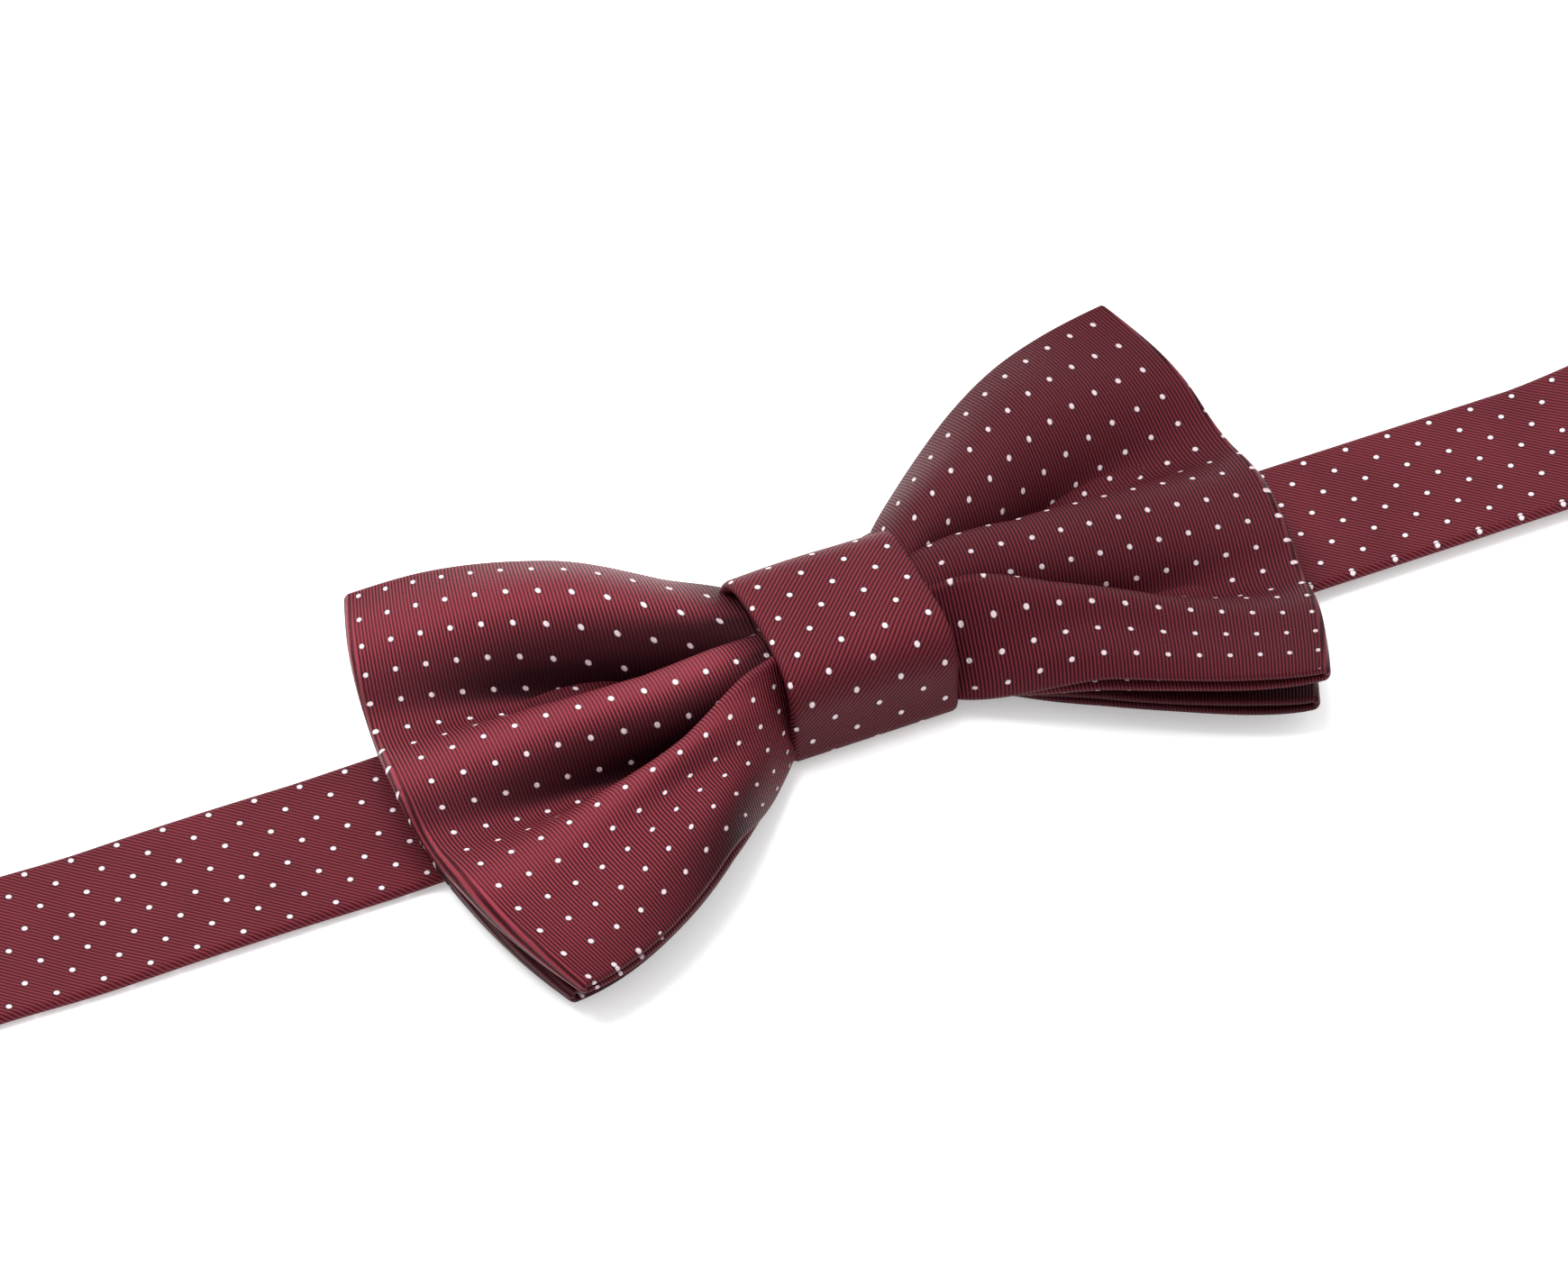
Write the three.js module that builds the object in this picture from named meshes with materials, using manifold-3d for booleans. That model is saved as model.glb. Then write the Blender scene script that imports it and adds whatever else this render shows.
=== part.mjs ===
// A pre-tied double bow tie, laid open on its back. Millimetres.
// +X runs along the neckband towards its adjustable end, +Y towards the bow's upper edge
// and +Z out of the front of the bow. The origin is the middle of the knot's flat back.
import * as THREE from "three";
import { mergeVertices } from "three/addons/utils/BufferGeometryUtils.js";
import Module from "manifold-3d";

const wasm = await Module();
wasm.setup();

// ---- Driving dimensions ----

const gap = 0.3; // between pieces that touch

const bow = {
  reach: 59, // knot centre to the middle of a wing's outer edge
  height: 65, // a wing's outer edge, from corner to corner
  waist: 15, // width of the gathered fabric inside the knot
  bulge: 5, // how far the outer edge bows out past its corners
  backInset: 3, // how much shorter the back loop's wings are
  silk: 0.5, // one layer of silk
  lining: 0.4, // the interlining behind it
  hollow: 0.8, // between the front and rear layers of a loop
  apart: 0.8, // between the two loops
  edgeMargin: 1.5, // the interlining stops this far inside the silk's long edges
  rows: 12, // facets across a wing's height
  columns: 6, // facets along each wing
};

const pleats = {
  front: 2.0, // height of the front loop's folds above their middle
  back: 0.8, // and of the back loop's
  crest: 0.3, // share of the wing's length at which the folds are deepest
  edgeShare: 0.4, // what is left of them at the outer edge
};

// Each wing leans towards the lower edge, and its upper corner lifts off the surface.
const wings = {
  left: { lean: 7, lift: 1 }, // degrees, mm
  right: { lean: 1.5, lift: 5 },
};

const knot = {
  width: 21, // along the neckband
  silk: 0.8, // the folded band
  lining: 0.4,
  cornerFront: 2.8,
  cornerBack: 2.4,
  cornerLeast: 0.4, // the tightest corner of an inner layer
  seamAt: -4, // where the band's ends are sewn together on the back
  seamWidth: 1.6,
  seamDepth: 0.4,
  seamMargin: 2, // from the stitches' ends to the band's edges
  seamStitches: 7,
};

const thread = {
  winding: 0.8, // depth of the winding round the waist
  windingWidth: 3,
  windingCorner: 0.6,
  bar: 0.5, // height of a bar tack
  barWidth: 1.2,
  barShare: 0.35, // half of a bar tack's legs, as a share of the band's width
  barEnd: 1, // the bar runs this far past its outer legs
  leg: 0.6,
  zigzag: 0.5,
  clear: 0.05, // under the seam's zigzag
};

const band = {
  width: 22,
  silk: 0.4,
  lining: 0.3,
  turn: 1.2, // thickness of the unlined turns at its ends
  inKnot: 16.4, // width inside the knot
  settle: 20, // length over which it comes down to the surface beside the knot
  hookAt: 200, // knot centre to the hook's bar
  eyeAt: 205, // knot centre to the eye's bar
  sliderAt: 125, // knot centre to the slider's middle bar
  hookTurn: 16, // the end that is folded back over the hook's bar
  eyeTurn: 6,
  sliderTurn: 14,
  hookSettle: 0.6, // share of a folded-back end over which it comes down flat
  sliderSettle: 0.4,
  hookTack: 3, // from a folded-back end to its bar tack
  sliderTack: 4,
  turnInset: 1, // the slider's fold stops this far short of its body
  liningStart: 1, // from the middle of the knot to the lining
  liningShort: 4, // from the lining's far end to the end of its tube
};

const metal = {
  thick: 1.0,
  bar: 1.0, // bars that the band wraps
  wrap: 0.9, // inner radius of the band's turns, in bars
  rim: 2.0, // the other bars
  side: 1.7, // side rails
  slot: 3.8, // slot that the band passes through
  sideClear: 0.7, // between the band's edges and the rails
  eyeLength: 6, // the opening that takes the hook
  eyeMouth: 14,
  sliderLength: 13,
  tongueThick: 0.8,
  tongueWidth: 9,
  tongueLength: 6,
  tongueMouth: 2.2,
};

// ---- Sizes that follow ----

const loopDepth = 2 * (bow.silk + gap + bow.lining) + bow.hollow;
const bandThick = 2 * (band.silk + gap + band.lining / 2);
const knotWall = knot.silk + gap + knot.lining + gap;
const bandLow = knotWall; // underside of the neckband inside the knot
const windingLow = bandLow + bandThick + gap;
const backCentre = windingLow + thread.winding + gap + loopDepth / 2;
const frontCentre = backCentre + loopDepth + bow.apart;
const windingHigh = frontCentre + loopDepth / 2 + gap + thread.winding;
const knotHeight = windingHigh + gap + knotWall;
const windingWide = bow.waist + 2 * (gap + thread.winding);
const knotDeep = windingWide + 2 * (gap + knotWall);
const knotEdge = knot.width / 2 + 0.5; // the wings start to open here
const turnRadius = metal.bar * metal.wrap + band.turn / 2; // centre line of a turn round a bar
const hookTurnRadius = metal.bar * metal.wrap + bandThick / 2;
const railInner = band.width / 2 + metal.sideClear;
const railOuter = railInner + metal.side;

// ---- Helpers ----

const point = (x, y) => new THREE.Vector2(x, y);

function solidOf(geometry) {
  const bare = geometry.clone();
  bare.deleteAttribute("normal");
  bare.deleteAttribute("uv");
  const merged = mergeVertices(bare, 1e-3);
  return new wasm.Manifold(
    new wasm.Mesh({
      numProp: 3,
      vertProperties: merged.attributes.position.array,
      triVerts: new Uint32Array(merged.index.array),
    }),
  );
}

function geometryOf(solid) {
  const mesh = solid.getMesh();
  const geometry = new THREE.BufferGeometry();
  geometry.setAttribute("position", new THREE.BufferAttribute(mesh.vertProperties, 3));
  geometry.setIndex(new THREE.BufferAttribute(mesh.triVerts, 1));
  return geometry;
}

function join(first, ...rest) {
  return geometryOf(rest.reduce((sum, g) => sum.add(solidOf(g)), solidOf(first)));
}

function cut(first, ...tools) {
  return geometryOf(tools.reduce((left, g) => left.subtract(solidOf(g)), solidOf(first)));
}

// Moves every vertex through a function of its place.
function reshape(geometry, move) {
  const places = geometry.attributes.position;
  const place = new THREE.Vector3();
  for (let i = 0; i < places.count; i += 1) {
    move(place.fromBufferAttribute(places, i));
    places.setXYZ(i, place.x, place.y, place.z);
  }
  return geometry;
}

function box(low, high) {
  const size = high.map((value, axis) => value - low[axis]);
  const middle = high.map((value, axis) => (value + low[axis]) / 2);
  return new THREE.BoxGeometry(...size).translate(...middle);
}

// Extrudes an outline drawn in X and Z across Y, centred on Y = 0.
function acrossY(shape, width) {
  const geometry = new THREE.ExtrudeGeometry(shape, { depth: width, bevelEnabled: false });
  return geometry.rotateX(Math.PI / 2).translate(0, width / 2, 0);
}

// Extrudes an outline drawn in X and Y upwards from z.
function upwards(shape, z, height) {
  const geometry = new THREE.ExtrudeGeometry(shape, { depth: height, bevelEnabled: false });
  return geometry.translate(0, 0, z);
}

// The two sides of a strip in side view: a centre line given some thickness.
function stripSides(line, thickness) {
  return line.map((here, i) => {
    const before = line[Math.max(i - 1, 0)];
    const after = line[Math.min(i + 1, line.length - 1)];
    const along = after.clone().sub(before).normalize();
    const across = point(-along.y, along.x).multiplyScalar(thickness / 2);
    return [here.clone().sub(across), here.clone().add(across)];
  });
}

function stripShape(line, thickness) {
  const sides = stripSides(line, thickness);
  return new THREE.Shape([...sides.map((side) => side[0]), ...sides.map((side) => side[1]).reverse()]);
}

// A flat ribbon along a centre line in X and Z, whose width can change along it.
function ribbon(line, thickness, widthAt) {
  const places = [];
  stripSides(line, thickness).forEach(([under, over], i) => {
    const half = widthAt(line[i].x) / 2;
    places.push(under.x, -half, under.y, under.x, half, under.y);
    places.push(over.x, half, over.y, over.x, -half, over.y);
  });
  const last = (line.length - 1) * 4;
  const faces = [0, 2, 1, 0, 3, 2, last, last + 1, last + 2, last, last + 2, last + 3];
  for (let i = 0; i < line.length - 1; i += 1) {
    for (let side = 0; side < 4; side += 1) {
      const here = i * 4 + side;
      const next = i * 4 + ((side + 1) % 4);
      faces.push(here, next, next + 4, here, next + 4, here + 4);
    }
  }
  const geometry = new THREE.BufferGeometry();
  geometry.setAttribute("position", new THREE.Float32BufferAttribute(places, 3));
  geometry.setIndex(faces);
  return geometry;
}

// Points of a half turn round a bar, from below it to above it, on the outer side.
function halfTurn(x, z, radius, outward) {
  const curve = new THREE.EllipseCurve(x, z, radius, radius, -Math.PI / 2, Math.PI / 2, outward < 0);
  return curve.getPoints(8).map((p) => point(x + Math.abs(p.x - x) * outward, p.y));
}

// ---- The two bow loops ----

// A loop seen from below: a long flat ring with round ends.
function ringPoints(reach, depth) {
  const straight = reach - depth / 2;
  const side = [];
  for (let i = 0; i <= bow.columns; i += 1) {
    side.push(knotEdge + ((straight - knotEdge) * i) / bow.columns);
  }
  const stations = [...side.map((x) => -x).reverse(), ...side];
  const bottom = stations.map((x) => point(x, -depth / 2));
  const top = stations.map((x) => point(x, depth / 2)).reverse();
  const end = (sign) => point(sign * reach, 0);
  return [...bottom, end(1), ...top, end(-1)];
}

function pleatHeight(share, height) {
  const opening = THREE.MathUtils.smoothstep(share, 0, pleats.crest);
  const fading = THREE.MathUtils.smoothstep(share, pleats.crest, 1);
  return height * opening * THREE.MathUtils.lerp(1, pleats.edgeShare, fading);
}

// Three crests and two valleys across a wing, straight between the rows of facets.
function foldWave(across) {
  const row = (across * bow.rows) / 2;
  const low = Math.floor(row);
  const wave = (n) => Math.cos((3 * Math.PI * n * 2) / bow.rows);
  return THREE.MathUtils.lerp(wave(low), wave(low + 1), row - low);
}

// Spreads, pleats and leans a flat ring into a pair of wings.
function openWings(place, loop) {
  const wing = place.x < 0 ? wings.left : wings.right;
  const side = Math.sign(place.x);
  const share = Math.max(0, (Math.abs(place.x) - knotEdge) / (loop.reach - knotEdge));
  const across = place.y / (loop.height / 2);
  const spread = 1 - (1 - share) ** 2;
  const half = THREE.MathUtils.lerp(bow.waist / 2, loop.height / 2, spread);
  const fold = pleatHeight(share, loop.pleat);
  const frontFold = pleatHeight(share, loop.pleatAbove);
  const reach = Math.abs(place.x) - bow.bulge * share ** 2 * across ** 2;
  const lean = THREE.MathUtils.degToRad(wing.lean) * side * -THREE.MathUtils.smoothstep(share, 0, 0.5);
  const lift = wing.lift * share ** 2 * Math.max(0, across) ** 2;
  const flat = point(side * reach, across * half).rotateAround(point(0, 0), lean);
  const height = loop.centre + frontFold + place.z + fold * foldWave(across) + lift;
  place.set(flat.x, flat.y, height);
}

// Sweeps a ring between two outlines with the same number of points across a wing's height.
// Every facet's diagonal runs the same way, so that nested rings stay clear of each other.
function sweptRing(outer, inner, edges) {
  const count = outer.length;
  const places = [];
  edges.forEach((y) => [outer, inner].forEach((line) => line.forEach((p) => places.push(p.x, y, p.y))));
  const at = (row, wall, i) => (row * 2 + wall) * count + (i % count);
  const faces = [];
  const quad = (a, b, c, d, otherWay) => {
    faces.push(...(otherWay ? [a, d, b, b, d, c] : [a, c, b, a, d, c]));
  };
  for (let i = 0; i < count; i += 1) {
    const back = outer[(i + 1) % count].x < outer[i].x;
    for (let row = 0; row < edges.length - 1; row += 1) {
      quad(at(row, 0, i), at(row, 0, i + 1), at(row + 1, 0, i + 1), at(row + 1, 0, i), back);
      quad(at(row, 1, i + 1), at(row, 1, i), at(row + 1, 1, i), at(row + 1, 1, i + 1), !back);
    }
    const last = edges.length - 1;
    quad(at(0, 0, i + 1), at(0, 0, i), at(0, 1, i), at(0, 1, i + 1), false);
    quad(at(last, 0, i), at(last, 0, i + 1), at(last, 1, i + 1), at(last, 1, i), false);
  }
  const geometry = new THREE.BufferGeometry();
  geometry.setAttribute("position", new THREE.Float32BufferAttribute(places, 3));
  return geometry.setIndex(faces);
}

function bowLoop(loop, inset, thickness, margin) {
  const outer = ringPoints(loop.reach - inset, loopDepth - 2 * inset);
  const innerInset = inset + thickness;
  const inner = ringPoints(loop.reach - innerInset, loopDepth - 2 * innerInset);
  const half = loop.height / 2;
  const edges = [];
  for (let row = 0; row <= bow.rows; row += 1) {
    edges.push(half * ((2 * row) / bow.rows - 1));
  }
  edges[0] += margin;
  edges[bow.rows] -= margin;
  return reshape(sweptRing(outer, inner, edges), (place) => openWings(place, loop));
}

const frontLoop = {
  reach: bow.reach,
  height: bow.height,
  centre: frontCentre,
  pleat: pleats.front,
  pleatAbove: pleats.front - pleats.back, // keeps its folds clear of the back loop's
};

const backLoop = {
  reach: bow.reach - bow.backInset,
  height: bow.height - bow.backInset,
  centre: backCentre,
  pleat: pleats.back,
  pleatAbove: 0,
};

const silkOf = (loop) => bowLoop(loop, 0, bow.silk, 0);
const interliningOf = (loop) => bowLoop(loop, bow.silk + gap, bow.lining, bow.edgeMargin);

// ---- The knot ----

// A closed band's outline in Y and Z, inset from the knot's outer surface.
function bandOutline(deep, low, high, front, back) {
  const half = deep / 2;
  const path = new THREE.Path();
  path.moveTo(-half + back, low);
  path.lineTo(half - back, low);
  path.absarc(half - back, low + back, back, -Math.PI / 2, 0);
  path.absarc(half - front, high - front, front, 0, Math.PI / 2);
  path.absarc(-half + front, high - front, front, Math.PI / 2, Math.PI);
  path.absarc(-half + back, low + back, back, Math.PI, 1.5 * Math.PI);
  return path.getPoints(4).slice(0, -1);
}

// A shape drawn in Y and Z, as wide along X and centred on the knot.
function alongX(shape, width) {
  const ring = new THREE.ExtrudeGeometry(shape, { depth: width, bevelEnabled: false });
  ring.applyMatrix4(new THREE.Matrix4().set(0, 0, 1, 0, 1, 0, 0, 0, 0, 1, 0, 0, 0, 0, 0, 1));
  return ring.translate(-width / 2, 0, 0);
}

// A ring round the bow's waist, of the given thickness, that lies inset below the knot's surface.
function waistRing(inset, thickness, width) {
  const outline = (into) =>
    bandOutline(
      knotDeep - 2 * into,
      into,
      knotHeight - into,
      Math.max(knot.cornerFront - into, knot.cornerLeast),
      Math.max(knot.cornerBack - into, knot.cornerLeast),
    );
  const shape = new THREE.Shape(outline(inset));
  shape.holes.push(new THREE.Path(outline(inset + thickness)));
  return alongX(shape, width);
}

function gatherWinding() {
  const outline = (into) => {
    const corner = thread.windingCorner + thread.winding - into;
    return bandOutline(windingWide - 2 * into, windingLow + into, windingHigh - into, corner, corner);
  };
  const shape = new THREE.Shape(outline(0));
  shape.holes.push(new THREE.Path(outline(thread.winding)));
  return alongX(shape, thread.windingWidth);
}

function knotBand() {
  const half = knot.seamWidth / 2;
  const groove = box(
    [-knot.width, knot.seamAt - half, -1],
    [knot.width, knot.seamAt + half, knot.seamDepth],
  );
  return cut(waistRing(0, knot.silk, knot.width), groove);
}

// A zigzag of thread in the groove across the knot's back.
function knotSeam() {
  const steps = 2 * knot.seamStitches;
  const run = knot.width - 2 * knot.seamMargin;
  const swing = (knot.seamWidth - thread.zigzag) / 2 - gap / 2;
  const line = [];
  for (let i = 0; i <= steps; i += 1) {
    line.push(point(-run / 2 + (run * i) / steps, knot.seamAt + (i % 2 ? swing : -swing)));
  }
  const high = knot.seamDepth - gap / 2 - thread.clear;
  return upwards(stripShape(line, thread.zigzag), thread.clear, high);
}

// ---- The neckband ----

// The band narrows to pass through the knot, and its lining with it.
function bandWidth(margin) {
  const start = knotEdge + 1;
  return (x) => {
    const open = THREE.MathUtils.smoothstep(Math.abs(x), start, start + band.settle);
    return THREE.MathUtils.lerp(band.inKnot, band.width, open) - 2 * margin;
  };
}

// The line of the neckband from inside the knot outwards, coming down to lie at z = rest.
function bandLine(side, from, to, rest) {
  const start = knotEdge + 1;
  const line = [point(side * from, bandLow + bandThick / 2), point(side * start, bandLow + bandThick / 2)];
  for (let i = 1; i <= 4; i += 1) {
    const drop = THREE.MathUtils.smoothstep(i, 0, 4);
    const z = THREE.MathUtils.lerp(bandLow, rest, drop) + bandThick / 2;
    line.push(point(side * (start + (band.settle * i) / 4), z));
  }
  line.push(point(side * to, rest + bandThick / 2));
  return line;
}

function bandTube(line, lining) {
  const hollow = ribbon(lining(gap), band.lining + 2 * gap, bandWidth(band.silk));
  return cut(ribbon(line, bandThick, bandWidth(0)), hollow);
}

function bandLining(lining) {
  return ribbon(lining(0), band.lining, bandWidth(band.silk + gap));
}

// A bar of tight stitches on top of two layers, with legs down through both.
function barTack(x, low, high, grow) {
  const half = band.width * thread.barShare;
  const legs = [-half, 0, half].map((y) =>
    box(
      [x - thread.leg / 2 - grow, y - thread.leg / 2 - grow, low - (grow ? 1 : 0)],
      [x + thread.leg / 2 + grow, y + thread.leg / 2 + grow, high + thread.bar / 2 + gap],
    ),
  );
  if (grow) return legs;
  const top = box(
    [x - thread.barWidth / 2, -half - thread.barEnd, high + gap],
    [x + thread.barWidth / 2, half + thread.barEnd, high + gap + thread.bar],
  );
  return [join(top, ...legs)];
}

// Hook side: it lies on the surface, and its end is folded over the hook's bar and back.
const hookBarHeight = bandThick / 2 + hookTurnRadius;
const hookFoldTop = 2 * bandThick + gap; // top of the folded-back end
const hookEnd = band.hookAt - band.hookTurn;
const hookTackAt = -(hookEnd + band.hookTack);

function hookSideLine() {
  const low = bandLine(-1, gap, hookEnd, 0);
  const turn = halfTurn(-band.hookAt, hookBarHeight, hookTurnRadius, -1);
  const rest = hookFoldTop - bandThick / 2;
  const flatFrom = -band.hookAt + band.hookTurn * band.hookSettle;
  const back = [point(flatFrom, rest), point(-hookEnd, rest)];
  return [...low, ...turn, ...back];
}

// The line of a lining whose tube ends at the given X. A hollow cut for it runs past at both ends.
function liningLine(side, end, past, rest) {
  const from = past ? -2 * band.liningStart : gap + band.liningStart;
  return bandLine(side, from, end - band.liningShort + past, rest);
}

const hookLining = (past) => liningLine(-1, hookEnd, past, 0);

function hookSideBand() {
  const tube = bandTube(hookSideLine(), hookLining);
  return cut(tube, ...barTack(hookTackAt, 0, hookFoldTop, gap));
}

// Slider side: it stays level, so that the slider's frame can pass under it.
const sliderRun = band.eyeAt - band.eyeTurn - gap;
const sliderLine = () => bandLine(1, gap, sliderRun, bandLow);
const sliderLining = (past) => liningLine(1, sliderRun, past, bandLow);

const eyeBarHeight = bandLow + bandThick / 2 + turnRadius;
const eyeTop = eyeBarHeight + turnRadius;

function eyeTurn() {
  const inner = band.eyeAt - band.eyeTurn;
  const turn = halfTurn(band.eyeAt, eyeBarHeight, turnRadius, 1);
  const line = [point(inner, bandLow + bandThick / 2), ...turn, point(inner, eyeTop)];
  return acrossY(stripShape(line, band.turn), band.width);
}

const returnLow = bandLow + bandThick + gap + band.turn / 2; // centre line at the slider
const sliderBarHeight = returnLow + turnRadius;
const sliderFoldTop = returnLow + 1.5 * band.turn + gap;
const sliderTackAt = band.sliderAt + band.sliderTurn - band.sliderTack;

function returnRun() {
  const line = [
    point(band.sliderAt + band.sliderTurn + gap, returnLow),
    point(band.eyeAt - band.eyeTurn - gap, eyeTop),
  ];
  return acrossY(stripShape(line, band.turn), band.width);
}

function sliderTurn() {
  const outer = band.sliderAt + band.sliderTurn;
  const turn = halfTurn(band.sliderAt, sliderBarHeight, turnRadius, -1);
  const rest = sliderFoldTop - band.turn / 2;
  const line = [
    point(outer, returnLow),
    ...turn,
    point(band.sliderAt + band.sliderTurn * band.sliderSettle, rest),
    point(outer - band.turnInset, rest),
  ];
  const strip = acrossY(stripShape(line, band.turn), band.width);
  return cut(strip, ...barTack(sliderTackAt, returnLow - band.turn / 2, sliderFoldTop, gap));
}

// ---- The metal fittings ----

function rectangle(x0, x1, half) {
  return [point(x0, -half), point(x1, -half), point(x1, half), point(x0, half)];
}

// A flat plate seen from the front, as long as the slots it holds, drawn outwards along +X.
function plate(outline, holes) {
  const shape = new THREE.Shape(outline);
  holes.forEach((hole) => shape.holes.push(new THREE.Path(hole)));
  return upwards(shape, -metal.thick / 2, metal.thick);
}

function hookPlate() {
  const start = -metal.bar / 2;
  const slotEnd = metal.bar / 2 + metal.slot;
  const end = slotEnd + metal.rim;
  const loop = plate(rectangle(start, end, railOuter), [rectangle(metal.bar / 2, slotEnd, railInner)]);
  const rise = metal.tongueMouth + (metal.thick + metal.tongueThick) / 2;
  const tip = end + metal.tongueLength;
  const bend = new THREE.EllipseCurve(tip, rise / 2, rise / 2, rise / 2, -Math.PI / 2, Math.PI / 2);
  const line = [point(end - metal.rim / 2, 0), ...bend.getPoints(6), point(end + metal.rim / 2, rise)];
  const tongue = acrossY(stripShape(line, metal.tongueThick), metal.tongueWidth);
  return join(loop, tongue).rotateZ(Math.PI); // it points away from the knot
}

function eyePlate() {
  const start = -metal.bar / 2;
  const slotEnd = metal.bar / 2 + metal.slot;
  const mouth = slotEnd + metal.rim;
  const mouthEnd = mouth + metal.eyeLength;
  const end = mouthEnd + metal.rim;
  const half = metal.eyeMouth / 2;
  const outline = [
    point(start, -railOuter),
    point(slotEnd, -railOuter),
    point(end, -half - metal.rim),
    point(end, half + metal.rim),
    point(slotEnd, railOuter),
    point(start, railOuter),
  ];
  return plate(outline, [
    rectangle(metal.bar / 2, slotEnd, railInner),
    rectangle(mouth, mouthEnd, half),
  ]);
}

function sliderFrame() {
  const half = metal.sliderLength / 2;
  const window = rectangle(metal.rim - half, half - metal.rim, railInner);
  const base = plate(rectangle(-half, half, railOuter), [window]).translate(0, 0, metal.thick / 2);
  const barHalf = metal.bar / 2;
  const posts = [-1, 1].map((side) => {
    const edges = [side * railInner, side * railOuter].sort((a, b) => a - b);
    return box([-barHalf, edges[0], metal.thick / 2], [barHalf, edges[1], sliderBarHeight + barHalf]);
  });
  const bar = box(
    [-barHalf, -railOuter, sliderBarHeight - barHalf],
    [barHalf, railOuter, sliderBarHeight + barHalf],
  );
  return join(base, ...posts, bar);
}

// ---- Assembly ----

const silk = { color: 0x5c2431, roughness: 0.55, metalness: 0 };
const canvas = { color: 0xd8d2c4, roughness: 0.95, metalness: 0 };
const cotton = { color: 0x4a1c28, roughness: 0.8, metalness: 0 };
const nickel = { color: 0xc8c6c2, roughness: 0.25, metalness: 1 };

function piece(name, geometry, finish) {
  const mesh = new THREE.Mesh(geometry, new THREE.MeshStandardMaterial(finish));
  mesh.name = name;
  return mesh;
}

const bowGroup = new THREE.Group();
bowGroup.add(
  piece("front_bow_silk", silkOf(frontLoop), silk),
  piece("front_bow_interlining", interliningOf(frontLoop), canvas),
  piece("back_bow_silk", silkOf(backLoop), silk),
  piece("back_bow_interlining", interliningOf(backLoop), canvas),
  piece("gather_thread", gatherWinding(), cotton),
);

const knotGroup = new THREE.Group();
knotGroup.add(
  piece("knot_band_silk", knotBand(), silk),
  piece("knot_band_interlining", waistRing(knot.silk + gap, knot.lining, knot.width - 2), canvas),
  piece("knot_back_stitching", knotSeam(), cotton),
);

const hookSide = new THREE.Group();
const hook = piece("hook", hookPlate(), nickel);
hook.position.set(-band.hookAt, 0, hookBarHeight);
hookSide.add(
  piece("neckband_hook_side", hookSideBand(), silk),
  piece("neckband_hook_side_interlining", bandLining(hookLining), canvas),
  piece("hook_end_bar_tack", barTack(hookTackAt, 0, hookFoldTop, 0)[0], cotton),
  hook,
);

const sliderSide = new THREE.Group();
const slider = piece("slider", sliderFrame(), nickel);
slider.position.x = band.sliderAt;
const eye = piece("eye_ring", eyePlate(), nickel);
eye.position.set(band.eyeAt, 0, eyeBarHeight);
sliderSide.add(
  piece("neckband_slider_side", bandTube(sliderLine(), sliderLining), silk),
  piece("neckband_slider_side_interlining", bandLining(sliderLining), canvas),
  piece("neckband_eye_turn", eyeTurn(), silk),
  piece("neckband_return_run", returnRun(), silk),
  piece("neckband_slider_turn", sliderTurn(), silk),
  piece(
    "slider_end_bar_tack",
    barTack(sliderTackAt, returnLow - band.turn / 2, sliderFoldTop, 0)[0],
    cotton,
  ),
  slider,
  eye,
);

const bowTie = new THREE.Group();
bowTie.add(bowGroup, knotGroup, hookSide, sliderSide);
export default bowTie;
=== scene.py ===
import math
import bpy
import numpy as np
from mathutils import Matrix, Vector, noise


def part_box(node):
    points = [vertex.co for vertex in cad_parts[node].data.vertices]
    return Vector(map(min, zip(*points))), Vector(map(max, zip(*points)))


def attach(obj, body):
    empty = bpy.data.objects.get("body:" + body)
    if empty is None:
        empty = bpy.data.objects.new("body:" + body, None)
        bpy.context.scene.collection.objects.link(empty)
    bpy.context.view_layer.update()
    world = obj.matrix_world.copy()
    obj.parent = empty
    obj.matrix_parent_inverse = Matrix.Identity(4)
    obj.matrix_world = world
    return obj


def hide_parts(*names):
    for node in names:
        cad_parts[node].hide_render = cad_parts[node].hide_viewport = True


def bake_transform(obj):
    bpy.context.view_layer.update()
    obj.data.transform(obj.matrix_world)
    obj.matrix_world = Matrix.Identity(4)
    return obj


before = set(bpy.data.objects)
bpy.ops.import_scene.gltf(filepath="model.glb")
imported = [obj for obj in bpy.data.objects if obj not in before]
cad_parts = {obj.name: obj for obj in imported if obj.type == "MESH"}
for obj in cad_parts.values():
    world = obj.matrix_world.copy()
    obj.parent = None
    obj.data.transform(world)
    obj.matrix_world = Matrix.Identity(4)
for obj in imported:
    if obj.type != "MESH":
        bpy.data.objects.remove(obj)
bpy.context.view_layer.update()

# Pre-tied bow tie in dotted ribbed silk. Cloth is worked out in millimetres and made in metres.
mm = 0.001
dotPitch = 4.2  # woven dots stand on a square grid


# a number that changes over a surface
class Field:
    def __init__(self, finish, socket):
        self.finish = finish
        self.socket = socket

    def __add__(self, other):
        return self.finish.sum("ADD", self, other)

    def __radd__(self, other):
        return self.finish.sum("ADD", other, self)

    def __sub__(self, other):
        return self.finish.sum("SUBTRACT", self, other)

    def __rsub__(self, other):
        return self.finish.sum("SUBTRACT", other, self)

    def __mul__(self, other):
        return self.finish.sum("MULTIPLY", self, other)

    def __rmul__(self, other):
        return self.finish.sum("MULTIPLY", other, self)


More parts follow.
